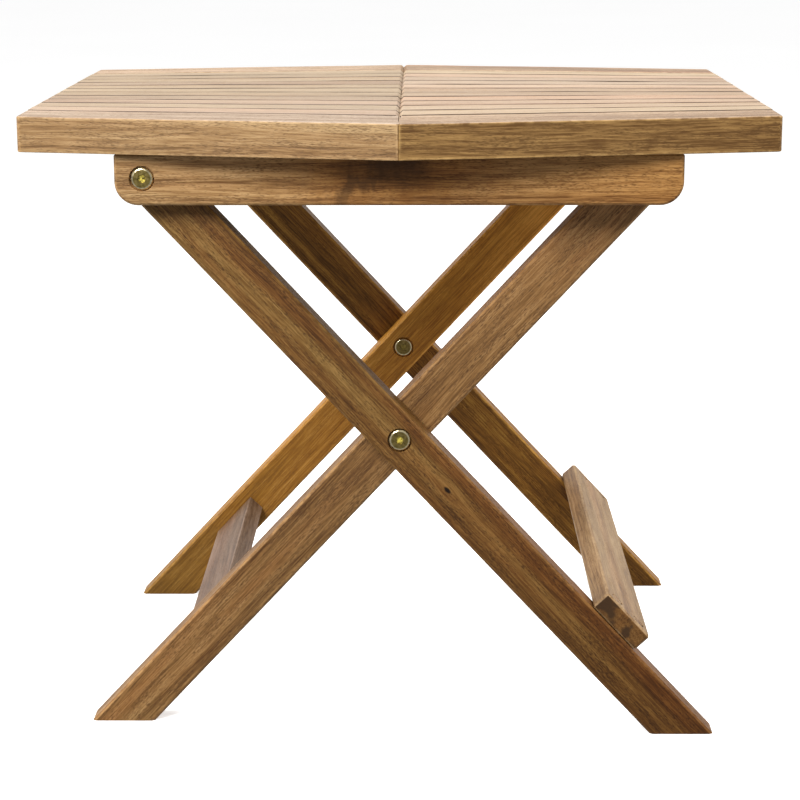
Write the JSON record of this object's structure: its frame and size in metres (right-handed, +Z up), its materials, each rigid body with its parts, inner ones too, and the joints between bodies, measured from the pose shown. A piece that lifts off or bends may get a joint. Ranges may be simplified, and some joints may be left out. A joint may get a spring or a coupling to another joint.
{
  "type": "folding side table",
  "caption": "Low wooden folding table: a slatted six-sided top on two crossed leg frames that pivot on bolts and fold flat under the top.",
  "frame": {"origin": "on the floor under the middle of the table top", "axes": "+X to the right along the slats, +Y to the rear along the hinge axes, +Z up"},
  "size_m": [0.5024, 0.4994, 0.434],
  "materials": {
    "top_boards": "oiled, lightly weathered",
    "aprons": "oiled",
    "battens": "sawn",
    "outer_legs": "oiled",
    "inner_legs": "oiled",
    "stretchers": "oiled",
    "bolts": "antique plated",
    "screws": "zinc plated",
    "washers": "nylon"
  },
  "bodies": {
    "outer_frame": {"cross_bolt_front": "bolts", "cross_bolt_rear": "bolts", "cross_nut_front": "bolts", "cross_nut_rear": "bolts", "cross_washer_front": "washers", "cross_washer_rear": "washers", "outer_leg_front": "outer_legs", "outer_leg_rear": "outer_legs", "outer_stretcher": "stretchers", "screw_plug_1": "stretchers", "screw_plug_2": "stretchers", "screw_plug_3": "stretchers", "screw_plug_4": "stretchers", "stretcher_screw_1": "screws", "stretcher_screw_2": "screws", "stretcher_screw_3": "screws", "stretcher_screw_4": "screws"},
    "inner_frame": {"inner_leg_front": "inner_legs", "inner_leg_rear": "inner_legs", "inner_stretcher": "stretchers", "latch_bar": "stretchers"},
    "top_pivots": {"top_bolt_front": "bolts", "top_bolt_rear": "bolts", "top_nut_front": "bolts", "top_nut_rear": "bolts", "top_washer_front": "washers", "top_washer_rear": "washers"},
    "top": {"front_apron": "aprons", "latch_stop": "battens", "left_batten": "battens", "left_front_board": "top_boards", "left_rear_board": "top_boards", "left_slat_01": "top_boards", "left_slat_02": "top_boards", "left_slat_03": "top_boards", "left_slat_04": "top_boards", "left_slat_05": "top_boards", "left_slat_06": "top_boards", "left_slat_07": "top_boards", "left_slat_08": "top_boards", "left_slat_09": "top_boards", "left_slat_10": "top_boards", "left_slat_11": "top_boards", "middle_batten": "battens", "rear_apron": "aprons", "right_batten": "battens", "right_front_board": "top_boards", "right_rear_board": "top_boards", "right_slat_01": "top_boards", "right_slat_02": "top_boards", "right_slat_03": "top_boards", "right_slat_04": "top_boards", "right_slat_05": "top_boards", "right_slat_06": "top_boards", "right_slat_07": "top_boards", "right_slat_08": "top_boards", "right_slat_09": "top_boards", "right_slat_10": "top_boards", "right_slat_11": "top_boards"}
  },
  "joints": [
    {"name": "top_ride", "type": "hinge", "parent": "outer_frame", "child": "top_pivots", "pos_m": [-0.169, 0, 0.3935], "axis": [0, -1, 0], "range_deg": [0, 42.7]},
    {"name": "top_lift", "type": "hinge", "parent": "top_pivots", "child": "top", "pos_m": [-0.169, 0, 0.3935], "axis": [0, -1, 0], "range_deg": [0, 85]},
    {"name": "leg_fold", "type": "hinge", "parent": "outer_frame", "child": "inner_frame", "pos_m": [0, 0, 0.212], "axis": [0, -1, 0], "range_deg": [0, 85.4]}
  ],
  "couplings": [
    {"joint": "leg_fold", "follows": "top_ride", "ratio": 2}
  ]
}
